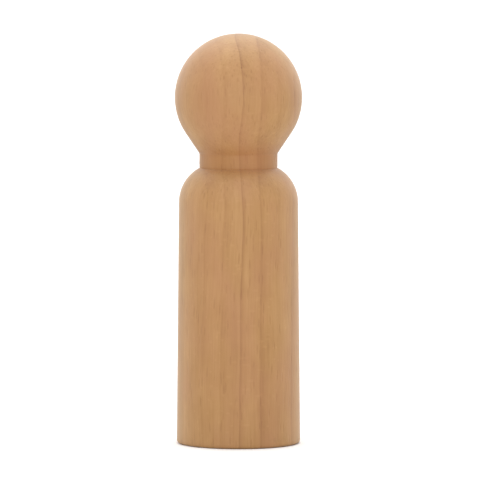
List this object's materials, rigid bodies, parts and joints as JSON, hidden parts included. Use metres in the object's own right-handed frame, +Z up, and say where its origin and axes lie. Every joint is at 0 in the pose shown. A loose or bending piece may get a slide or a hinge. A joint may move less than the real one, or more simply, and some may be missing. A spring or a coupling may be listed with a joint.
{
  "type": "peg doll",
  "caption": "Unpainted turned wooden peg figure with a ball head, a short neck and a slightly tapered round body on a flat base.",
  "frame": {"origin": "centre of the flat base, on the surface that the figure stands on", "axes": "+Z up along the lathe's axis from the base to the crown of the head; the figure is the same all round, and -Y is the side shown first"},
  "size_m": [0.028, 0.028, 0.09],
  "materials": {
    "sanded_hardwood": "bare hardwood, turned and fine sanded, with no paint or varnish"
  },
  "bodies": {
    "root": {"peg_figure": "sanded_hardwood"}
  },
  "joints": []
}
